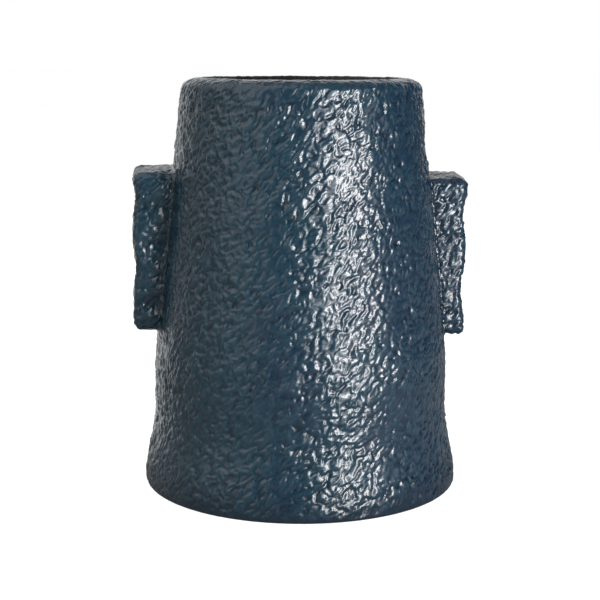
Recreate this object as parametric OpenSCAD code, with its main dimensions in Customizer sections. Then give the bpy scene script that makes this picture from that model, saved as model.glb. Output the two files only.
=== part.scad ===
// Round tapered vase with a flared foot, an in-turned rim and two upright block lugs.
// Stands on the plane z = 0 with its axis on z. The lugs lie on the x axis.

/* [Wall] */
// Overall height, from the table to the crest of the rim
height = 260; // [230:1:300]
// Outer diameter of the standing edge
foot_d = 204; // [196:1:230]
// Outer diameter of the upright band above the foot
band_d = 188; // [180:1:194]
// Outer diameter at the top of the taper, where the rim rounds over
neck_d = 151; // [136:1:166]
// Thickness of the wall, measured level
wall_t = 8; // [6:0.5:10]
// Height at which the flare of the foot has run out
flare_h = 54; // [40:1:62]
// Fullness of the flare, from 0.6 for a hollow curve to 2 for a bell
flare_full = 1.1; // [0.6:0.1:2]
// Height at which the upright band turns into the taper
taper_z = 82; // [78:1:92]
// Radius that eases the band into the taper
taper_round = 180; // [80:10:220]
// Rounding of the standing edge
foot_round = 2; // [1:0.5:3]

/* [Rim] */
// Height of the coil that forms the rim
rim_h = 15; // [13:0.5:20]
// Height of the rim's rounded shoulder
rim_rise = 7; // [5:0.5:9]
// Level distance from the outer face to the crest of the rim
rim_in = 12.5; // [11:0.5:16]
// Radius of the rounded inner edge of the lip
lip_r = 4; // [3:0.25:5]

/* [Floor] */
// Clear height under the floor
floor_z = 5; // [3:0.5:10]
// Thickness of the floor
floor_t = 9; // [6:0.5:12]
// Radius of the coil pressed into the corner above the floor
coil_r = 7; // [4:0.5:10]

/* [Lugs] */
// Width across both lugs
lug_span = 215; // [206:1:230]
// Depth of a lug, front to back
lug_depth = 36; // [26:1:50]
// Height of the lower end of the right lug above the table
lug_z = 96.5; // [85:0.5:110]
// Height of a lug
lug_h = 103; // [80:1:120]
// How much higher the left lug sits than the right one
left_lug_up = 5; // [0:0.5:8]
// Rounding of the upright outer edges of a lug
lug_edge_r = 5; // [3:0.5:8]
// Rounding of the upper and lower ends of a lug
lug_end_r = 5; // [3:0.5:8]

/* [Seams] */
// Thickness of the slip in a luted joint
slip_t = 0.8; // [0.5:0.1:1.5]
// Width of the slip squeezed out round a lug
bead_w = 2; // [1:0.5:4]
// Clearance between the curved faces of luted pieces
seat_gap = 0.1; // [0.05:0.05:0.3]

/* [Hidden] */

$fn = 96;
flare_steps = 14;
ease_steps = 6;
round_steps = 12;

glaze = [0.16, 0.25, 0.33];
dark_glaze = [0.09, 0.11, 0.13];
bare_clay = [0.55, 0.50, 0.44];

foot_r = foot_d / 2;
band_r = band_d / 2;
neck_r = neck_d / 2;
rim_z = height - rim_h;
shoulder_z = height - rim_rise;
crest_r = neck_r - rim_in;
floor_top = floor_z + floor_t;
lug_reach = lug_span / 2;
lug_mid_z = lug_z + lug_h / 2;

// Lean of the taper, and how far the easing arc runs along the band
taper_slope = (band_r - neck_r) / (shoulder_z - taper_z);
taper_lean = atan(taper_slope);
ease_z = taper_z - taper_round * tan(taper_lean / 2);

// Share of the flare that is left at s, from 0 at the standing edge to 1 where it has run out
function flare_left(s) = (1 - s) * (1 - s) * (1 + flare_full * s);

// Outer radius of the wall at height z
function outer_r(z) =
    z < foot_round ? foot_r :
    z < flare_h ? band_r + (foot_r - band_r) * flare_left((z - foot_round) / (flare_h - foot_round)) :
    z < ease_z ? band_r :
    z < ease_z + taper_round * sin(taper_lean) ?
        band_r - taper_round + sqrt(taper_round * taper_round - (z - ease_z) * (z - ease_z)) :
    band_r - taper_slope * (z - taper_z);

// Heights at which the wall's outline has a point, from the standing edge up to the rim's seat
wall_zs = concat(
    [for (i = [0:flare_steps]) foot_round + (flare_h - foot_round) * i / flare_steps],
    [for (i = [0:ease_steps]) ease_z + taper_round * sin(taper_lean * i / ease_steps)],
    [rim_z]
);

function wall_line(grow) = [for (z = wall_zs) [outer_r(z) + grow, z]];
function reversed(points) = [for (i = [len(points) - 1:-1:0]) points[i]];

// Arc of an ellipse about c, with half axes a and b, up to but not including its last point
function arc(c, a, b, from, to) = [
    for (i = [0:round_steps - 1])
        let (t = from + (to - from) * i / round_steps)
            [c[0] + a * cos(t), c[1] + b * sin(t)]
];

// Space inside the wall's outer face, grown outwards or, with a negative value, shrunk
module wall_core_2d(grow) {
    polygon(concat(
        [[0, 0], [foot_r + grow, 0]],
        wall_line(grow),
        [[0, rim_z]]
    ));
}

// Half outline of the floor, with the given gap to the slip round its edge
module floor_2d(gap) {
    intersection() {
        wall_core_2d(-wall_t - slip_t - gap);
        translate([0, floor_z])
            square([foot_r, floor_t]);
    }
}

module rounded_rect(w, h, r) {
    square([w - 2 * r, h], center = true);
    square([w, h - 2 * r], center = true);
    for (x = [-1, 1], y = [-1, 1])
        translate([x * (w / 2 - r), y * (h / 2 - r)])
            circle(r);
}

module body_wall() {
    color(glaze)
        rotate_extrude()
            polygon(concat(
                [[foot_r - wall_t, 0]],
                arc([foot_r - foot_round, foot_round], foot_round, foot_round, -90, 0),
                wall_line(0),
                reversed(wall_line(-wall_t))
            ));
}

module rim_coil() {
    under_z = height - 2 * lip_r;
    seat_in = outer_r(rim_z) - wall_t;
    color(glaze)
        rotate_extrude()
            polygon(concat(
                [[outer_r(rim_z), rim_z]],
                arc([crest_r, shoulder_z], rim_in, rim_rise, 0, 90),
                arc([crest_r, height - lip_r], lip_r, lip_r, 90, 270),
                arc([crest_r, rim_z], seat_in - crest_r, under_z - rim_z, 90, 0),
                [[seat_in, rim_z]]
            ));
}

module floor_disc() {
    color(bare_clay)
        rotate_extrude()
            floor_2d(seat_gap);
}

module floor_seam() {
    color(dark_glaze)
        rotate_extrude()
            difference() {
                intersection() {
                    wall_core_2d(-wall_t - seat_gap);
                    union() {
                        translate([0, floor_z])
                            square([foot_r, floor_t]);
                        translate([outer_r(floor_top) - wall_t, floor_top])
                            intersection() {
                                circle(coil_r);
                                translate([-coil_r, 0])
                                    square([2 * coil_r, coil_r]);
                            }
                    }
                }
                floor_2d(0);
            }
}

// Outline of a lug seen from the side, grown all round
module lug_side(grow) {
    translate([0, 0, lug_mid_z])
        rotate([90, 0, 90])
            linear_extrude(lug_reach)
                rounded_rect(lug_depth + 2 * grow, lug_h + 2 * grow, lug_end_r + grow);
}

// Lug on the right, raised by the given height
module lug(up) {
    color(glaze)
        difference() {
            translate([0, 0, up])
                intersection() {
                    lug_side(0);
                    translate([0, 0, lug_z])
                        linear_extrude(lug_h)
                            rounded_rect(lug_span, lug_depth, lug_edge_r);
                    translate([0, lug_depth / 2, lug_mid_z])
                        rotate([90, 0, 0])
                            linear_extrude(lug_depth)
                                rounded_rect(lug_span, lug_h, lug_end_r);
                }
            rotate_extrude()
                wall_core_2d(slip_t + seat_gap);
        }
}

// Bed of slip behind that lug
module lug_seam(up) {
    color(glaze)
        difference() {
            intersection() {
                translate([0, 0, up])
                    lug_side(bead_w);
                rotate_extrude()
                    wall_core_2d(slip_t);
            }
            rotate_extrude()
                wall_core_2d(seat_gap);
        }
}

module right_lug() {
    lug(0);
}

module right_lug_seam() {
    lug_seam(0);
}

module left_lug() {
    mirror([1, 0, 0])
        lug(left_lug_up);
}

module left_lug_seam() {
    mirror([1, 0, 0])
        lug_seam(left_lug_up);
}

body_wall();
rim_coil();
floor_disc();
floor_seam();
left_lug();
left_lug_seam();
right_lug();
right_lug_seam();
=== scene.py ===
import bmesh
import bpy
import math
import numpy as np
from mathutils import Matrix, Vector, noise


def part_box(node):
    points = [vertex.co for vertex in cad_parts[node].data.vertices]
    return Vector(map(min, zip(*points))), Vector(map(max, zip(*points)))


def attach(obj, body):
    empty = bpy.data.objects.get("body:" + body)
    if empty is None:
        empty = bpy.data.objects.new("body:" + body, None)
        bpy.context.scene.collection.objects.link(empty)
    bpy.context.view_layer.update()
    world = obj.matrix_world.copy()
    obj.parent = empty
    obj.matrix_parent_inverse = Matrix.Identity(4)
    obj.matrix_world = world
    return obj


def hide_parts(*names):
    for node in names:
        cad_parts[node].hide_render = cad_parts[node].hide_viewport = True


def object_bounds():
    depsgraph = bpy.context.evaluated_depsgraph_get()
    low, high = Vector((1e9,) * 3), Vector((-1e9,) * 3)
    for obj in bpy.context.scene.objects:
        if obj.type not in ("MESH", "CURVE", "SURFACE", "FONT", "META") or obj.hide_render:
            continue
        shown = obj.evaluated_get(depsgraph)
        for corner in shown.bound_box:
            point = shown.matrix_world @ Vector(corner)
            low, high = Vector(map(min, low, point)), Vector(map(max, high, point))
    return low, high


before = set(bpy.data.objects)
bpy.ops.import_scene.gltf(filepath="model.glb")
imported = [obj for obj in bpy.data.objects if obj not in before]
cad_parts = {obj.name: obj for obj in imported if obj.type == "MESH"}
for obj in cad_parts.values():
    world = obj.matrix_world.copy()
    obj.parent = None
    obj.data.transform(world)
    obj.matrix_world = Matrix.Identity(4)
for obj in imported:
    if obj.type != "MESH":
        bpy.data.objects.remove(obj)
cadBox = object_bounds()
mm = 0.001
tiny = 1e-6                            # metres or radians that count as nothing
tinyDigits = 6                         # the same as decimals
bpy.context.scene.view_settings.view_transform = "Standard"
print("frame loaded:", ", ".join(sorted(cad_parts)))


# Glaze skin: the same relief runs over the wall, the lugs and their fillets
skin = dict(
    seed=11,                                     # the same pebbles every time
    swellSize=24 * mm, swellHeight=0.5 * mm,     # slow waves of the hand-built wall
    lumpSize=3.3 * mm, lumpHeight=0.72 * mm,     # pebbles of the thick glaze
    ridgeSize=2.6 * mm, ridgeHeight=0.59 * mm,   # smooth winding ridges between them
    ridgeWidth=0.3, ridgeLevel=0.5,              # how wide they are, and how much of them lies sunk
    grainSize=1.7 * mm, grainHeight=0.05 * mm,   # small bubbles on top
    bend=0.7, bendSize=1.43,                     # how far the pebbles wander off their grid, in pebbles
    patchSize=11 * mm, patch=0.6,                # bolder and calmer patches
    wormSize=2.2 * mm,                           # fine ridges, too small for the mesh
    fullLift=0.43 * mm,                          # a bump this high counts as a full one for the glaze
    drag=Vector((0.765, 0, 0.644)), stretch=1.6,     # the pebbles are drawn out along this line
    ridgeShift=Vector((37.1, 11.7, 5.3)),        # each layer has its own part of the noise
    grainShift=Vector((3.9, 71.3, 23.8)),
)
drawnOut = 1 - 1 / skin["stretch"]
noise.seed_set(skin["seed"])


def shareOf(value):
    # keeps a share between none and all
    return min(1.0, max(0.0, value))


def skinHeight(point, coarse):
    # height of the slow waves and of the fine relief at a point
    swell = noise.noise(point / skin["swellSize"])
    point = (point - skin["drag"] * point.dot(skin["drag"]) * drawnOut) / coarse
    cell = point / skin["lumpSize"]
    wander = noise.noise_vector(cell / skin["bendSize"]) * skin["bend"]
    lump = noise.noise(cell + wander)
    crossing = noise.noise(point / skin["ridgeSize"] + wander + skin["ridgeShift"]) / skin["ridgeWidth"]
    ridge = 1 / (1 + crossing * crossing) - skin["ridgeLevel"]
    grain = noise.noise(point / skin["grainSize"] + skin["grainShift"])
    rough = lump * skin["lumpHeight"] + ridge * skin["ridgeHeight"] + grain * skin["grainHeight"]
    bold = 1 + skin["patch"] * noise.noise(point / skin["patchSize"] + skin["grainShift"])
    return swell * skin["swellHeight"], rough * bold


def keepLift(mesh, lift):
    # height of the relief, -1 in a hollow to 1 on a bump, for the glaze to pool and thin by, lowered further
    # where painted shade is taken off it
    attribute = mesh.attributes.new("lift", "FLOAT", "POINT")
    attribute.data.foreach_set("value", np.array(lift, np.float32))


def reliefOver(points, normals, calm, coarse=1.0):
    # moves each point along its normal; calm 1 leaves it in place and less than 0 is bolder
    # a coarse skin has larger pebbles
    moved = []
    lift = []
    for point, normal, still in zip(points, normals, calm):
        swell, rough = skinHeight(Vector(point), coarse)
        moved.append(np.asarray(point) + np.asarray(normal) * (swell + rough) * (1 - still))
        lift.append(max(-1.0, min(1.0, rough / skin["fullLift"])) * (1 - still))
    return np.clip(moved, cadBox[0], cadBox[1]), np.array(lift)      # never beyond the CAD box


def newPiece(name, points, faces, smooth=True):
    mesh = bpy.data.meshes.new(name)
    mesh.from_pydata([tuple(p) for p in points], [], [tuple(f) for f in faces])
    mesh.validate()
    if smooth:
        mesh.shade_smooth()
    piece = bpy.data.objects.new(name, mesh)
    bpy.context.scene.collection.objects.link(piece)
    return piece


# Outlines come from the CAD solids: radius and height where a turned piece crosses the +X side
def seamPoints(nodeName):
    found = set()
    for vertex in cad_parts[nodeName].data.vertices:
        if abs(vertex.co.y) < tiny and vertex.co.x > 0:
            found.add((round(vertex.co.x, tinyDigits), round(vertex.co.z, tinyDigits)))
    return sorted(found, key=lambda p: (p[1], p[0]))


def roundAbout(points, startPoint):
    # sorts the points of a plump section counter-clockwise, from its start point on
    middle = (np.min(points, axis=0) + np.max(points, axis=0)) / 2

    def angleOf(p):
        return math.atan2(p[1] - middle[1], p[0] - middle[0])

    first = angleOf(startPoint) - tiny
    return sorted(points, key=lambda p: (angleOf(p) - first) % math.tau)


def paced(points, step):
    # the same line with points at an even step
    points = np.array(points)
    reach = np.concatenate([[0], np.cumsum(np.linalg.norm(np.diff(points, axis=0), axis=1))])
    at = np.linspace(0, reach[-1], max(2, round(reach[-1] / step) + 1))
    return np.column_stack([np.interp(at, reach, points[:, k]) for k in (0, 1)])


def eased(points, rounds):
    # each round moves a point halfway to the middle of its neighbours
    points = points.copy()
    for _ in range(rounds):
        points[1:-1] = (points[:-2] + 2 * points[1:-1] + points[2:]) / 4
    return points


def outwards(outline):
    # normals of a closed counter-clockwise outline
    along = np.roll(outline, -1, axis=0) - np.roll(outline, 1, axis=0)
    normals = np.column_stack([along[:, 1], -along[:, 0]])
    return normals / np.linalg.norm(normals, axis=1)[:, None]


def turnedGrid(outline, columns, closed=True):
    # points, normals and faces of an outline turned round the axis; an open one ends in two middle points
    normals = outwards(outline)
    angles = np.arange(columns) * math.tau / columns
    ring = np.column_stack([np.cos(angles), np.sin(angles)])
    points = [(r * c, r * s, z) for r, z in outline for c, s in ring]
    directions = [(nr * c, nr * s, nz) for nr, nz in normals for c, s in ring]
    rows = len(outline)
    faces = []
    for i in range(rows if closed else rows - 1):
        below, above = i * columns, (i + 1) % rows * columns
        for j in range(columns):
            k = (j + 1) % columns
            faces.append((below + j, below + k, above + k, above + j))
    if not closed:
        top = (rows - 1) * columns
        points += [(0, 0, outline[0][1]), (0, 0, outline[-1][1])]
        directions += [(0, 0, -1), (0, 0, 1)]
        for j in range(columns):
            k = (j + 1) % columns
            faces.append((rows * columns, k, j))
            faces.append((rows * columns + 1, top + j, top + k))
    return points, directions, faces


# Vase wall and rim: one turned shell under one glaze
vaseWall = dict(
    columns=840, step=0.72 * mm, rimStep=0.72 * mm, insideStep=4 * mm,
    wallRounds=2, rimRounds=3,         # rounds of easing that take the corners off the CAD outline
    wallLeast=4 * mm,                  # a level with less clay than this is only the rounded foot
    footCalm=7 * mm,                   # the relief runs out over this height above the table
    crestFront=1.1 * mm, crestBack=0.25 * mm,    # how far the hand-made crest lies under the CAD box
    crestRise=8 * mm, crestCalm=0.55,            # the height that takes part, and how smooth its top is
    insideCalm=0.9, lipRows=12,                  # the relief fades by this over these rows behind the lip
    paintedShade=1.4, paintedShadeRise=26 * mm,              # painted shade: the glaze colour is darker towards the foot
    hollow=1.5 * mm, hollowHeight=216 * mm, hollowRun=12 * mm,       # shallow dip above the right lug
    hollowFocus=4,                               # how closely the dip keeps to that side
    tuck=1.4 * mm, tuckRise=17 * mm,             # the standing edge rounds in a little
    finishes=("blueGlaze", "shadedInsideGlaze", "bareClay"),
)
wallPoints = seamPoints("body_wall")
paired = []                            # levels that have a point on both faces
for level in sorted({z for r, z in wallPoints}):
    radii = [r for r, z in wallPoints if z == level]
    if max(radii) - min(radii) > vaseWall["wallLeast"]:
        paired.append((level, (max(radii) + min(radii)) / 2))


def midWall(z):
    return np.interp(z, [p[0] for p in paired], [p[1] for p in paired])


outerLine = [(r, z) for r, z in wallPoints if r > midWall(z)]
innerLine = [(r, z) for r, z in wallPoints if r < midWall(z)]
rimLine = roundAbout(seamPoints("rim_coil"), outerLine[-1])
outerHeights = [z for r, z in outerLine]
outerRadii = [r for r, z in outerLine]


def wallRadius(z):
    return float(np.interp(z, outerHeights, outerRadii))


def makeVaseWall():
    outer = eased(paced(outerLine, vaseWall["step"]), vaseWall["wallRounds"])
    rim = eased(paced(rimLine, vaseWall["rimStep"]), vaseWall["rimRounds"])
    inner = paced(innerLine[::-1], vaseWall["insideStep"])
    outer[:, 0] -= vaseWall["tuck"] * np.clip(1 - outer[:, 1] / vaseWall["tuckRise"], 0, 1) ** 2
    foot = paced([innerLine[0], outer[0]], vaseWall["step"])
    outline = np.vstack([outer[:-1], rim, inner[1:], foot[1:-1]])
    rows = np.arange(len(outline))
    heights = outline[:, 1]
    rimFrom = len(outer) - 1
    lipRow = rimFrom + int(np.argmin(rim[:, 0]))
    insideFrom = rimFrom + int(np.argmax(rim[:, 1])) + 1              # the near-black inside glaze, painted shade inside the mouth, starts at the crest
    footFrom = len(outline) - len(foot)
    points, normals, faces = turnedGrid(outline, vaseWall["columns"])
    points = np.array(points)

    # shallow dip at the right, and a crest that lies lower at the front
    radii = np.hypot(points[:, 0], points[:, 1])
    dip = np.exp(-((points[:, 2] - vaseWall["hollowHeight"]) / vaseWall["hollowRun"]) ** 2)
    dip *= vaseWall["hollow"] * np.clip(points[:, 0] / radii, 0, 1) ** vaseWall["hollowFocus"]
    points[:, :2] *= (1 - dip / radii)[:, None]
    crestShare = np.clip(1 - (cadBox[1].z - heights) / vaseWall["crestRise"], 0, 1)
    frontness = 0.5 - points[:, 1] / radii / 2                        # 1 at the front, 0 at the back
    sink = vaseWall["crestBack"] + (vaseWall["crestFront"] - vaseWall["crestBack"]) * frontness
    points[:, 2] -= sink * np.repeat(crestShare, vaseWall["columns"])

    # the relief is calmer at the foot, on the crest and inside, and the standing edge is plain
    atFoot = np.clip(1 - heights / vaseWall["footCalm"], 0, 1) ** 2
    behindLip = np.clip((rows - lipRow) / vaseWall["lipRows"], 0, 1) * vaseWall["insideCalm"]
    rowCalm = np.where(rows <= lipRow, atFoot + vaseWall["crestCalm"] * crestShare ** 2, behindLip)
    rowCalm[footFrom + 1:] = 1.0
    moved, lift = reliefOver(points, normals, np.repeat(rowCalm, vaseWall["columns"]))
    # painted shade near the table: the lift, and so the colour, is lowered towards the foot
    paintedShading = vaseWall["paintedShade"] * np.clip(1 - points[:, 2] / vaseWall["paintedShadeRise"], 0, 1)
    piece = newPiece("vase_wall", moved, faces)
    keepLift(piece.data, lift - paintedShading)

    outside, inside, under = range(len(vaseWall["finishes"]))
    slots = np.full(len(outline), outside)
    slots[insideFrom:] = inside
    slots[footFrom:] = under
    return piece, np.repeat(slots, vaseWall["columns"])


wallPiece, wallSlots = makeVaseWall()
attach(wallPiece, "root")
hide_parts("body_wall", "rim_coil")
print("wall turned:", len(wallPiece.data.vertices), "points")


# Lugs: the CAD block, softened under glaze, with the dents of the maker's fingers in its outer edge
lugs = dict(
    voxel=0.8 * mm, soften=8, softShare=0.5,     # even skin over the block, and the softening of its edges
    endCalm=0.15,                                # calmer upper and lower ends
    wobbleSize=20 * mm, wobbleHeight=0.7 * mm,   # slow unevenness of the block
    paintedShade=0.9, paintedShadeRun=5 * mm,                # painted shade, darker along the wall in the crease round the lug
    fallRun=20 * mm,                             # the height that takes part in the slope of the upper end
    # inset: how far the outer edge lies inside the CAD block
    # taper: how much the front and back close in towards the outer edge, or open where it is negative
    # fall: how much the upper end slopes down to the front
    # dents: height, depth and half width of each
    # calm and coarse: the relief of the lug, as reliefOver takes them
    left=dict(
        sign=-1, inset=0.9 * mm, calm=-0.1, coarse=1.2, fillet=2.8 * mm, taper=0.3 * mm, fall=4.2 * mm,
        dents=((186 * mm, 1.4 * mm, 9 * mm), (140 * mm, 1.9 * mm, 9 * mm)),
    ),
    right=dict(
        sign=1, inset=3.0 * mm, calm=-0.2, coarse=0.9, fillet=1.4 * mm, taper=-0.85 * mm, fall=3.2 * mm,
        dents=((172 * mm, 2.3 * mm, 10 * mm), (126 * mm, 2.5 * mm, 14 * mm)),
    ),
    finishes=("blueGlaze",),
)


def softCopy(nodeName, copyName):
    block = bmesh.new()
    block.from_mesh(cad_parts[nodeName].data)
    bmesh.ops.remove_doubles(block, verts=block.verts, dist=tiny)
    mesh = bpy.data.meshes.new(copyName)
    block.to_mesh(mesh)
    block.free()
    source = bpy.data.objects.new(copyName + "_source", mesh)
    bpy.context.scene.collection.objects.link(source)
    remesh = source.modifiers.new("even skin", "REMESH")
    remesh.mode = "VOXEL"
    remesh.voxel_size = lugs["voxel"]
    smooth = source.modifiers.new("soft edges", "SMOOTH")
    smooth.factor = lugs["softShare"]
    smooth.iterations = lugs["soften"]
    bpy.context.view_layer.update()
    shaped = source.evaluated_get(bpy.context.evaluated_depsgraph_get())
    made = bpy.data.meshes.new_from_object(shaped)
    bpy.data.objects.remove(source)
    return made


def topFall(side, corner, y, z):
    # how far a spot of the lug lies lower than in the CAD block; corner is the block's upper back corner
    frontShare = shareOf(0.5 - y / corner.y / 2)
    nearTop = shareOf(1 - (corner.z - z) / lugs["fallRun"])
    return lugs[side]["fall"] * frontShare * nearTop


def makeLug(side):
    own = lugs[side]
    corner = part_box(side + "_lug")[1]
    mesh = softCopy(side + "_lug", side + "_lug_soft")
    points = [v.co.copy() for v in mesh.vertices]
    normals = [v.normal.copy() for v in mesh.vertices]
    shaped = []
    calm = []
    paintedShading = []
    for point, normal in zip(points, normals):
        offWall = abs(point.x) - math.sqrt(max(0.0, wallRadius(point.z) ** 2 - point.y ** 2))
        share = shareOf(offWall / (cadBox[1].x - wallRadius(point.z)))       # 1 at the outer edge
        push = noise.noise(point / lugs["wobbleSize"]) * lugs["wobbleHeight"]
        push -= abs(normal.y) * own["taper"] * share
        inward = own["inset"]
        for height, depth, width in own["dents"]:
            inward += depth * math.exp(-((point.z - height) / width) ** 2)
        lowered = topFall(side, corner, point.y, point.z)
        shaped.append(point + normal * push - Vector((own["sign"] * inward * share, 0, lowered)))
        calm.append(own["calm"] + (lugs["endCalm"] - own["calm"]) * abs(normal.z))
        # painted shade, strongest where the lug meets the wall
        paintedShading.append(lugs["paintedShade"] * math.exp(-max(0.0, offWall) / lugs["paintedShadeRun"]))
    moved, lift = reliefOver(shaped, normals, calm, own["coarse"])
    mesh.vertices.foreach_set("co", np.array(moved, np.float32).ravel())
    mesh.update()
    mesh.shade_smooth()
    keepLift(mesh, lift - np.array(paintedShading))
    piece = bpy.data.objects.new(side + "_lug_glazed", mesh)
    bpy.context.scene.collection.objects.link(piece)
    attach(piece, "root")
    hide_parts(side + "_lug")
    return piece


lugPieces = [makeLug(side) for side in ("left", "right")]
print("lugs shaped:", [len(p.data.vertices) for p in lugPieces], "points")


# Fillets: glaze and slip drawn into the corner between lug and wall
fillet = dict(
    arcSteps=8, step=0.8 * mm, calm=0.15,
    sunk=1.2 * mm,                               # how far its back lies inside the lug and the wall
    cornerRadius=4.5 * mm, leastTurns=3,         # the outline's corners, and the fewest steps round one
    crisp=math.radians(60),                      # edges sharper than this stay edges
    finishes=("blueGlaze",),
)


def lugOutline(low, high):
    # rounded rectangle in the y-z plane, as (y, z, normal y, normal z), counter-clockwise seen from +X
    radius, step = fillet["cornerRadius"], fillet["step"]
    half = ((high.y - low.y) / 2 - radius, (high.z - low.z) / 2 - radius)
    middle = ((high.y + low.y) / 2, (high.z + low.z) / 2)
    turns = max(fillet["leastTurns"], round(radius * math.pi / 2 / step))
    spots = []
    for corner, (sy, sz) in enumerate(((1, 1), (-1, 1), (-1, -1), (1, -1))):
        cy, cz = middle[0] + sy * half[0], middle[1] + sz * half[1]
        for i in range(turns + 1):
            angle = (corner + i / turns) * math.pi / 2
            ny, nz = math.cos(angle), math.sin(angle)
            spots.append((cy + radius * ny, cz + radius * nz, ny, nz))
    filled = []
    for spot, following in zip(spots, spots[1:] + spots[:1]):
        filled.append(spot)
        gap = math.hypot(following[0] - spot[0], following[1] - spot[1])
        parts = round(gap / step)
        for i in range(1, parts):
            filled.append(tuple(a + (b - a) * i / parts for a, b in zip(spot, following)))
    return filled


def filletSection(radius):
    # a hollow arc and its hidden back, as (along the wall, off the wall, normal along, normal off)
    sunk = fillet["sunk"]
    section = []
    for i in range(fillet["arcSteps"] + 1):
        angle = i / fillet["arcSteps"] * math.pi / 2
        along, off = math.sin(angle), math.cos(angle)
        section.append((radius * (1 - along), radius * (1 - off), along, off))
    return section + [(-sunk, radius, 0, 0), (-sunk, -sunk, 0, 0), (radius, -sunk, 0, 0)]


def makeFillet(side):
    sign = lugs[side]["sign"]
    low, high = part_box(side + "_lug")
    section = filletSection(lugs[side]["fillet"])
    spots = lugOutline(low, high)
    points = []
    normals = []
    for y, z, ny, nz in spots:
        for along, off, alongNormal, offNormal in section:
            py, pz = y + along * ny, z + along * nz - topFall(side, high, y, z)
            px = math.sqrt(wallRadius(pz) ** 2 - py ** 2) + off
            points.append((sign * px, py, pz))
            normals.append((sign * offNormal, alongNormal * ny, alongNormal * nz))
    count = len(section)
    faces = []
    for i in range(len(spots)):
        here, there = i * count, (i + 1) % len(spots) * count
        for j in range(count):
            k = (j + 1) % count
            quad = (here + j, here + k, there + k, there + j)
            faces.append(quad if sign > 0 else quad[::-1])
    moved, lift = reliefOver(points, normals, [fillet["calm"]] * len(points))
    piece = newPiece(side + "_lug_fillet", moved, faces)
    piece.data.set_sharp_from_angle(angle=fillet["crisp"])
    # painted shade: the whole fillet in the crease takes the lugs' full painted shade
    keepLift(piece.data, lift - lugs["paintedShade"])
    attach(piece, "root")
    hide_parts(side + "_lug_seam")
    return piece


filletPieces = [makeFillet(side) for side in ("left", "right")]
print("fillets drawn round the lugs")


# Floor slab
floorSlab = dict(
    columns=180, step=3 * mm,
    core=2 * mm, edgeBand=3 * mm,                # radius of the middle disc, width with the edge's points
    plainEdge=6 * mm,                            # width of the flat rim
    ringPitch=5 * mm, ringDepth=0.25 * mm,       # throwing rings on the underside
    hollow=0.4 * mm, hollowWave=0.12 * mm,       # the upper side is worked a little hollow
    facingUp=0.5,                                # faces steeper than this carry no glaze
    finishes=("bareClay", "shadedInsideGlaze"),
)


def makeFloorSlab():
    low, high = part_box("floor_disc")
    edge = [p for p in seamPoints("floor_disc") if p[0] > high.x - floorSlab["edgeBand"]]
    outline = np.vstack([
        paced([(floorSlab["core"], low.z), edge[0]], floorSlab["step"]),
        paced([edge[0], edge[-1]], floorSlab["step"])[1:-1],
        paced([edge[-1], (floorSlab["core"], high.z)], floorSlab["step"]),
    ])
    grid, _, faces = turnedGrid(outline, floorSlab["columns"], closed=False)
    moved = []
    for x, y, z in grid:
        r = math.hypot(x, y)
        if r < high.x - floorSlab["plainEdge"]:
            wave = math.cos(r / floorSlab["ringPitch"] * math.tau)
            if z > (low.z + high.z) / 2:
                z += floorSlab["hollowWave"] * wave - floorSlab["hollow"]
            else:
                z += floorSlab["ringDepth"] * (wave + 1)
        moved.append((x, y, z))
    return newPiece("floor_slab", moved, faces)


slabPiece = makeFloorSlab()
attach(slabPiece, "root")
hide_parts("floor_disc")


# Coil pressed into the corner above the slab
floorCoil = dict(
    columns=240, step=1.4 * mm,
    freeRise=2 * mm,                             # height above the slab at which the presses are full
    presses=22, pressDepth=0.7 * mm,             # finger presses round the coil
    unevenSize=14 * mm, uneven=0.5 * mm,
    finishes=("shadedInsideGlaze",),
)


def makeFloorCoil():
    points = seamPoints("floor_seam")
    start = max(points, key=lambda p: (-p[1], p[0]))
    outline = paced(roundAbout(points, start) + [start], floorCoil["step"])[:-1]
    grid, normals, faces = turnedGrid(outline, floorCoil["columns"])
    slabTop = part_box("floor_disc")[1].z
    moved = []
    for point, normal in zip(grid, normals):
        free = shareOf((point[2] - slabTop) / floorCoil["freeRise"])         # 0 below the slab's top
        angle = math.atan2(point[1], point[0])
        press = (0.5 + 0.5 * math.cos(angle * floorCoil["presses"])) * floorCoil["pressDepth"]
        press += (0.5 + noise.noise(Vector(point) / floorCoil["unevenSize"])) * floorCoil["uneven"]
        moved.append(np.asarray(point) - np.asarray(normal) * press * free)
    return newPiece("floor_coil", moved, faces)


coilPiece = makeFloorCoil()
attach(coilPiece, "root")
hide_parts("floor_seam")
print("floor and coil made")


# Shader helpers: a value for a node is a plain one, or the output of another node
floatSocket = "NodeSocketFloat"
colourSocket = "NodeSocketColor"
nodeSpacing = (220, 260)               # columns and rows in the node editor


def feed(tree, socket, value):
    if isinstance(value, bpy.types.NodeSocket):
        tree.links.new(value, socket)
    else:
        socket.default_value = value


def addNode(tree, kind, values, **settings):
    # makes a node and gives back its outputs
    node = tree.nodes.new(kind)
    for key, setting in settings.items():
        setattr(node, key, setting)
    for label, value in values.items():
        feed(tree, node.inputs[label], value)
    return node.outputs


def addMath(tree, operation, *values):
    return addNode(tree, "ShaderNodeMath", dict(enumerate(values)), operation=operation)["Value"]


def addVectorMath(tree, operation, *values):
    return addNode(tree, "ShaderNodeVectorMath", dict(enumerate(values)), operation=operation)


def addNoise(tree, place, scale, detail, distortion=0.0):
    values = {"Vector": place, "Scale": scale, "Detail": detail, "Distortion": distortion}
    return addNode(tree, "ShaderNodeTexNoise", values)["Fac"]


def addRamp(tree, value, start, end, low=0.0, high=1.0, kind="LINEAR"):
    values = {"Value": value, "From Min": start, "From Max": end, "To Min": low, "To Max": high}
    return addNode(tree, "ShaderNodeMapRange", values, interpolation_type=kind)["Result"]


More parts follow.
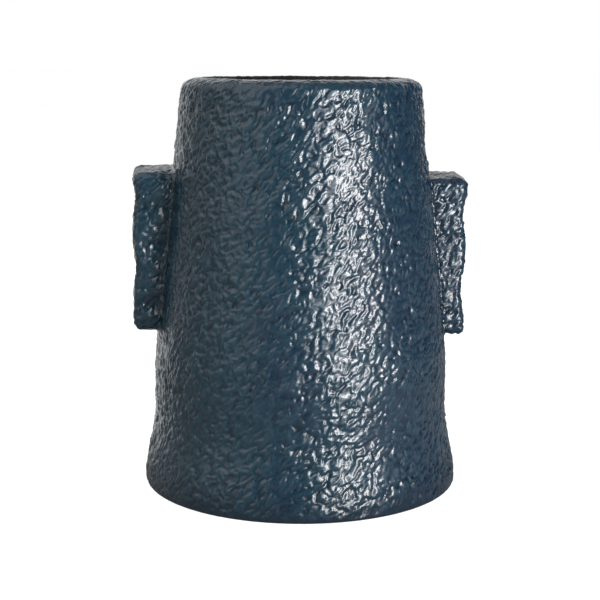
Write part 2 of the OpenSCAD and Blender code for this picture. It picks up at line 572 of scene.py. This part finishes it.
def addBlend(tree, share, first, second):
    values = {"Factor": share, "A": first, "B": second}
    return addNode(tree, "ShaderNodeMix", values, data_type="RGBA")["Result"]


def addPlace(tree, kind="Object"):
    return addNode(tree, "ShaderNodeTexCoord", {})[kind]


def addAxis(tree, place, axis):
    return addNode(tree, "ShaderNodeSeparateXYZ", {"Vector": place})[axis]


def addGroup(tree, group, values):
    return addNode(tree, "ShaderNodeGroup", values, node_tree=group)


def layOut(tree):
    # puts each node one column to the right of those that feed it
    column = {node.name: 0 for node in tree.nodes}
    for _ in tree.nodes:
        for link in tree.links:
            column[link.to_node.name] = max(column[link.to_node.name], column[link.from_node.name] + 1)
    filled = {}
    for node in tree.nodes:
        at = column[node.name]
        filled[at] = filled.get(at, 0) + 1
        node.location = (at * nodeSpacing[0], -filled[at] * nodeSpacing[1])


def newGroup(name, inputs, outputs):
    # an empty group, what it is given and what it puts out
    group = bpy.data.node_groups.new(name, "ShaderNodeTree")
    for label, kind in inputs.items():
        group.interface.new_socket(label, in_out="INPUT", socket_type=kind)
    for label, kind in outputs.items():
        group.interface.new_socket(label, in_out="OUTPUT", socket_type=kind)
    given = group.nodes.new("NodeGroupInput").outputs
    putOut = group.nodes.new("NodeGroupOutput").inputs
    return group, given, putOut


# Tone drift: two tones of one colour that run into each other in soft patches; the second, lighter and
# greener tone is also pushed to the left as painted light on that side
driftAndLeftLight = dict(detail=4.0, distortion=0.6, firstBelow=0.32, secondAbove=0.68)


def makeDriftAndLeftLightGroup():
    group, given, putOut = newGroup(
        "Tone Drift And Painted Left Light",
        {"First": colourSocket, "Second": colourSocket, "Scale": floatSocket, "Lean": floatSocket},
        {"Colour": colourSocket},
    )
    place = addPlace(group)
    patch = addNoise(group, place, given["Scale"], driftAndLeftLight["detail"], driftAndLeftLight["distortion"])
    # painted light: the further left, the more of the second, lighter tone
    leaning = addMath(group, "MULTIPLY", addAxis(group, place, "X"), given["Lean"])
    shifted = addMath(group, "SUBTRACT", patch, leaning)
    share = addRamp(group, shifted, driftAndLeftLight["firstBelow"], driftAndLeftLight["secondAbove"])
    feed(group, putOut["Colour"], addBlend(group, share, given["First"], given["Second"]))
    layOut(group)
    return group


# Pooling: glaze runs off the bumps and gathers in the hollows, by the height of the relief; the same dark
# pooled colour also paints shade where the lift is lowered for painted shade
glazePoolingAndShade = dict(thinFrom=0.1, thinFull=1.0, pooledAndShadedFrom=-0.1, pooledAndShadedFull=-1.0)


def makePoolAndShadeGroup():
    group, given, putOut = newGroup(
        "Pooling And Painted Shade",
        {"Colour": colourSocket, "Thin": colourSocket, "Pooled And Shaded": colourSocket, "Amount": floatSocket},
        {"Colour": colourSocket},
    )
    lift = addNode(group, "ShaderNodeAttribute", {}, attribute_name="lift")["Fac"]
    thin = addRamp(group, lift, glazePoolingAndShade["thinFrom"], glazePoolingAndShade["thinFull"])
    pooledAndShaded = addRamp(group, lift, glazePoolingAndShade["pooledAndShadedFrom"], glazePoolingAndShade["pooledAndShadedFull"])
    colour = given["Colour"]
    for label, reached in (("Thin", thin), ("Pooled And Shaded", pooledAndShaded)):
        share = addMath(group, "MULTIPLY", reached, given["Amount"])
        colour = addBlend(group, share, colour, given[label])
    feed(group, putOut["Colour"], colour)
    layOut(group)
    return group


# Grain: fine unevenness of a fired surface, as a height and a roughness
firedGrain = dict(
    fineDetail=3.0,
    wormDetail=1.0, wormDistortion=0.5,
    wormLevel=0.5,                               # a fine ridge runs where the noise is at this level
    wideScale=60.0, wideDetail=3.0,              # smoother and rougher patches
    smoothBelow=0.3, roughAbove=0.7,
)


def makeGrainGroup():
    group, given, putOut = newGroup(
        "Fired Grain",
        {"Scale": floatSocket, "Worms": floatSocket, "Rough Low": floatSocket, "Rough High": floatSocket,
         "Dry Height": floatSocket, "Dry": floatSocket},
        {"Height": floatSocket, "Roughness": floatSocket},
    )
    place = addPlace(group)
    fine = addNoise(group, place, given["Scale"], firedGrain["fineDetail"])
    along = addVectorMath(group, "DOT_PRODUCT", place, skin["drag"])["Value"]
    pullValues = {"Vector": skin["drag"] * drawnOut, "Scale": along}
    pull = addNode(group, "ShaderNodeVectorMath", pullValues, operation="SCALE")["Vector"]
    drawn = addVectorMath(group, "SUBTRACT", place, pull)["Vector"]
    worm = addNoise(group, drawn, 1 / skin["wormSize"],
                    firedGrain["wormDetail"], firedGrain["wormDistortion"])
    offRidge = addMath(group, "ABSOLUTE", addMath(group, "SUBTRACT", worm, firedGrain["wormLevel"]))
    wormShare = addMath(group, "MULTIPLY", offRidge, given["Worms"])
    feed(group, putOut["Height"], addMath(group, "SUBTRACT", fine, wormShare))

    wide = addNoise(group, place, firedGrain["wideScale"], firedGrain["wideDetail"])
    rough = addRamp(group, wide, firedGrain["smoothBelow"], firedGrain["roughAbove"],
                    given["Rough Low"], given["Rough High"])
    footward = addRamp(group, addAxis(group, place, "Z"), 0.0, given["Dry Height"], 1.0, 0.0, "SMOOTHSTEP")
    drier = addMath(group, "MULTIPLY", footward, given["Dry"])
    feed(group, putOut["Roughness"], addMath(group, "ADD", rough, drier))
    layOut(group)
    return group


# Specks: iron grains in the clay that show through
def makeSpeckGroup():
    group, given, putOut = newGroup(
        "Iron Specks",
        {"Colour": colourSocket, "Speck": colourSocket, "Scale": floatSocket, "Size": floatSocket},
        {"Colour": colourSocket},
    )
    cellValues = {"Vector": addPlace(group), "Scale": given["Scale"]}
    distance = addNode(group, "ShaderNodeTexVoronoi", cellValues)["Distance"]
    near = addMath(group, "LESS_THAN", distance, given["Size"])
    feed(group, putOut["Colour"], addBlend(group, near, given["Colour"], given["Speck"]))
    layOut(group)
    return group


driftAndLeftLightGroup = makeDriftAndLeftLightGroup()
poolAndShadeGroup = makePoolAndShadeGroup()
grainGroup = makeGrainGroup()
speckGroup = makeSpeckGroup()

# Finishes: a glaze also has the colours where it is thin and pooled, which bare clay lacks; the pooled
# colour also serves as painted shade
# lean: how much more of the second, lighter tone the left has, as painted light on the left side
# dry: how much rougher the finish is at the table, fading out at dryHeight
finishes = dict(
    blueGlaze=dict(
        first=(0.0090, 0.0222, 0.0410, 1), second=(0.0076, 0.0295, 0.0460, 1), driftScale=26.0, lean=3.0,
        thin=(0.0160, 0.0392, 0.0575, 1), pooledAndShaded=(0.0028, 0.0095, 0.0185, 1), amount=0.7,
        speck=(0.008, 0.018, 0.026, 1), speckScale=420.0, speckSize=0.12,
        grainScale=900.0, roughLow=0.18, roughHigh=0.23, bump=0.04 * mm, worms=4.0, specular=0.5,
        dryHeight=22 * mm, dry=0.08,
    ),
    # near-black: painted shade for the inside of the mouth and the floor within
    shadedInsideGlaze=dict(
        first=(0.006, 0.008, 0.010, 1), second=(0.012, 0.015, 0.017, 1), driftScale=30.0, lean=0.0,
        thin=(0.02, 0.022, 0.022, 1), pooledAndShaded=(0.004, 0.006, 0.008, 1), amount=0.6,
        speck=(0.03, 0.025, 0.02, 1), speckScale=300.0, speckSize=0.1,
        grainScale=700.0, roughLow=0.45, roughHigh=0.6, bump=0.06 * mm, worms=2.0, specular=0.2,
        dryHeight=22 * mm, dry=0.0,
    ),
    bareClay=dict(
        first=(0.30, 0.25, 0.19, 1), second=(0.24, 0.20, 0.155, 1), driftScale=40.0, lean=0.0,
        speck=(0.07, 0.05, 0.035, 1), speckScale=380.0, speckSize=0.16,
        grainScale=1100.0, roughLow=0.75, roughHigh=0.9, bump=0.12 * mm, worms=0.0, specular=0.3,
        dryHeight=22 * mm, dry=0.0,
    ),
)


def makeFinish(name):
    own = finishes[name]
    material = bpy.data.materials.new(name)
    material.use_nodes = True
    tree = material.node_tree
    shader = tree.nodes["Principled BSDF"].inputs
    colour = addGroup(tree, driftAndLeftLightGroup, {
        "First": own["first"], "Second": own["second"], "Scale": own["driftScale"], "Lean": own["lean"],
    })["Colour"]
    colour = addGroup(tree, speckGroup, {
        "Colour": colour, "Speck": own["speck"], "Scale": own["speckScale"], "Size": own["speckSize"],
    })["Colour"]
    if "amount" in own:
        colour = addGroup(tree, poolAndShadeGroup, {
            "Colour": colour, "Thin": own["thin"], "Pooled And Shaded": own["pooledAndShaded"], "Amount": own["amount"],
        })["Colour"]
    grain = addGroup(tree, grainGroup, {
        "Scale": own["grainScale"], "Worms": own["worms"],
        "Rough Low": own["roughLow"], "Rough High": own["roughHigh"],
        "Dry Height": own["dryHeight"], "Dry": own["dry"],
    })
    bumpValues = {"Distance": own["bump"], "Height": grain["Height"]}
    feed(tree, shader["Base Color"], colour)
    feed(tree, shader["Roughness"], grain["Roughness"])
    feed(tree, shader["Normal"], addNode(tree, "ShaderNodeBump", bumpValues)["Normal"])
    feed(tree, shader["Specular IOR Level"], own["specular"])
    layOut(tree)
    return material


fired = {name: makeFinish(name) for name in finishes}


def dress(piece, own):
    piece.data.materials.clear()
    for name in own["finishes"]:
        piece.data.materials.append(fired[name])


dress(wallPiece, vaseWall)
wallPiece.data.polygons.foreach_set("material_index", wallSlots.astype(np.int32))
for piece in lugPieces:
    dress(piece, lugs)
for piece in filletPieces:
    dress(piece, fillet)
dress(coilPiece, floorCoil)
dress(slabPiece, floorSlab)
bare, glazed = range(len(floorSlab["finishes"]))
slabMiddle = sum(corner.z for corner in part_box("floor_disc")) / 2
for polygon in slabPiece.data.polygons:
    upper = polygon.center.z > slabMiddle and polygon.normal.z > floorSlab["facingUp"]
    polygon.material_index = glazed if upper else bare
print("finishes placed")


# Camera, fitted to the photo's outline
view = dict(
    lens=81.9, sensor=36.0, away=871 * mm, height=271.4 * mm,
    turn=math.radians(4.5), pitch=math.radians(10.04), roll=math.radians(0.2), aside=-0.4 * mm,
    nearest=10 * mm,                             # what is nearer isn't drawn
)
camera = bpy.data.objects.new("camera", bpy.data.cameras.new("camera"))
bpy.context.scene.collection.objects.link(camera)
camera.data.lens = view["lens"]
camera.data.sensor_width = view["sensor"]
camera.data.clip_start = view["nearest"]
turned = Matrix.Rotation(-view["turn"], 4, "Z")
place = Matrix.Translation((view["aside"], -view["away"], view["height"]))
tilt = Matrix.Rotation(math.pi / 2 - view["pitch"], 4, "X") @ Matrix.Rotation(view["roll"], 4, "Z")
camera.matrix_world = turned @ place @ tilt
bpy.context.scene.camera = camera


# Studio: white floor and back, pale at the left and above, one tall softbox among softer lamps
studio = dict(
    floorSize=60.0, floorColour=(0.35, 0.35, 0.35, 1),
    glowSeen=0.92,                               # what the camera sees the floor add to its own light
    glowStrip=6.0,                               # painted pool of light on the floor under the softbox, seen only in reflections
    stripFrom=0.975, stripTo=0.995, stripTurn=math.radians(34),
    stripNear=0.24, stripFar=0.40,               # it starts this far from the axis of the vase
    glowBack=0.8, glowTurn=math.radians(25),     # painted light on the floor behind the vase, seen only in reflections
    roomColour=(1, 1, 1, 1),
    roomSeen=1.0, roomDim=0.02,                  # the room that the camera sees, and the rest of it
    roomBack=0.9, backFrom=0.6, backTo=0.92,
    roomLeft=0.55, leftFrom=0.2, leftTo=0.95, leftTurn=math.radians(75),
    roomTop=0.25, topFrom=0.62, topTo=0.9,
    # lamps: turn is degrees to the right of the camera, lean is degrees about the lamp's own axis
    # a lamp with shine False isn't mirrored in the glaze
    strip=dict(turn=38, away=1.0, height=0.27, wide=0.20, tall=0.58, glow=25.8, lean=-20),
    panel=dict(turn=27, away=1.1, height=0.35, wide=0.57, tall=0.75, glow=4.3, lean=-20),
    veil=dict(turn=57, away=1.0, height=0.35, wide=0.42, tall=1.0, glow=1.3, lean=0),
    fill=dict(turn=-48, away=1.3, height=0.45, wide=0.95, tall=1.1, glow=0.7, lean=0),
    high=dict(turn=-65, away=1.1, height=1.6, wide=2.4, tall=2.4, glow=0.85, lean=0),
    rear=dict(turn=180, away=1.3, height=0.8, wide=1.2, tall=1.0, glow=4.0, lean=0, shine=False),
)
backDirection = Vector((math.sin(view["turn"]), math.cos(view["turn"]), 0))
leftDirection = Matrix.Rotation(studio["leftTurn"], 3, "Z") @ backDirection
floorDirection = Matrix.Rotation(studio["glowTurn"], 3, "Z") @ backDirection
stripDirection = Matrix.Rotation(studio["stripTurn"], 3, "Z") @ -backDirection
upDirection = Vector((0, 0, 1))


def addGlow(tree, direction, towards, start, end, glow):
    # a soft-edged patch of light round one direction
    facing = addVectorMath(tree, "DOT_PRODUCT", direction, towards)["Value"]
    return addRamp(tree, facing, start, end, 0.0, glow, "SMOOTHSTEP")


def addRays(tree):
    # 1 where the camera sees the surroundings, and 1 where a reflection or a look through glass meets them
    path = addNode(tree, "ShaderNodeLightPath", {})
    mirrored = addMath(tree, "MAXIMUM", path["Is Glossy Ray"], path["Is Transmission Ray"])
    return path["Is Camera Ray"], mirrored


def makeFloor():
    half = studio["floorSize"] / 2
    corners = [(-half, -half, 0), (half, -half, 0), (half, half, 0), (-half, half, 0)]
    floor = newPiece("studio_floor", corners, [(0, 1, 2, 3)], smooth=False)
    material = bpy.data.materials.new("paleFloor")
    material.use_nodes = True
    tree = material.node_tree
    tree.nodes.remove(tree.nodes["Principled BSDF"])
    spot = addPlace(tree)
    outward = addVectorMath(tree, "NORMALIZE", spot)["Vector"]
    distance = addVectorMath(tree, "LENGTH", spot)["Value"]
    # painted pools of light on the floor, behind the vase and under the softbox, which only reflections see
    behind = addGlow(tree, outward, floorDirection, studio["backFrom"], studio["backTo"], studio["glowBack"])
    underStrip = addGlow(tree, outward, stripDirection,
                         studio["stripFrom"], studio["stripTo"], studio["glowStrip"])
    farEnough = addRamp(tree, distance, studio["stripNear"], studio["stripFar"], kind="SMOOTHSTEP")
    paintedPools = addMath(tree, "ADD", behind, addMath(tree, "MULTIPLY", underStrip, farEnough))
    seen, mirrored = addRays(tree)
    seenGlow = addMath(tree, "MULTIPLY", seen, studio["glowSeen"])
    mirrorGlow = addMath(tree, "MULTIPLY", mirrored, paintedPools)
    strength = addMath(tree, "ADD", seenGlow, mirrorGlow)
    paper = addNode(tree, "ShaderNodeBsdfDiffuse", {"Color": studio["floorColour"]})["BSDF"]
    glow = addNode(tree, "ShaderNodeEmission", {"Strength": strength})["Emission"]
    both = addNode(tree, "ShaderNodeAddShader", {0: paper, 1: glow})["Shader"]
    feed(tree, tree.nodes["Material Output"].inputs["Surface"], both)
    layOut(tree)
    floor.data.materials.append(material)


def makeRoom():
    world = bpy.data.worlds.new("room")
    bpy.context.scene.world = world
    world.use_nodes = True
    tree = world.node_tree
    direction = addPlace(tree, "Generated")
    seen, mirrored = addRays(tree)
    back = addGlow(tree, direction, backDirection, studio["backFrom"], studio["backTo"], studio["roomBack"])
    left = addGlow(tree, direction, leftDirection, studio["leftFrom"], studio["leftTo"], studio["roomLeft"])
    top = addGlow(tree, direction, upDirection, studio["topFrom"], studio["topTo"], studio["roomTop"])
    back = addMath(tree, "MULTIPLY", back, mirrored)         # the white back is mirrored, but lights nothing
    level = studio["roomDim"]
    for glow in (back, left, top):
        level = addMath(tree, "ADD", level, glow)
    plain = addMath(tree, "MULTIPLY", seen, studio["roomSeen"])
    background = tree.nodes["Background"].inputs
    feed(tree, background["Color"], studio["roomColour"])
    feed(tree, background["Strength"], addMath(tree, "MAXIMUM", plain, level))
    layOut(tree)


def makeLamp(name):
    own = studio[name]
    lamp = bpy.data.lights.new(name, "AREA")
    lamp.shape = "RECTANGLE"
    lamp.size = own["wide"]
    lamp.size_y = own["tall"]
    lamp.energy = own["glow"] * math.pi * own["wide"] * own["tall"]
    holder = bpy.data.objects.new(name, lamp)
    holder.visible_glossy = own.get("shine", True)
    bpy.context.scene.collection.objects.link(holder)
    angle = math.radians(own["turn"]) - view["turn"]
    spot = Vector((math.sin(angle) * own["away"], -math.cos(angle) * own["away"], own["height"]))
    middle = (cadBox[0] + cadBox[1]) / 2
    facing = (middle - spot).to_track_quat("-Z", "Y").to_matrix().to_4x4()
    leaning = Matrix.Rotation(math.radians(own["lean"]), 4, "Z")
    holder.matrix_world = Matrix.Translation(spot) @ facing @ leaning


makeFloor()
makeRoom()
for lampName in ("strip", "panel", "veil", "fill", "high", "rear"):
    makeLamp(lampName)
print("studio lit")
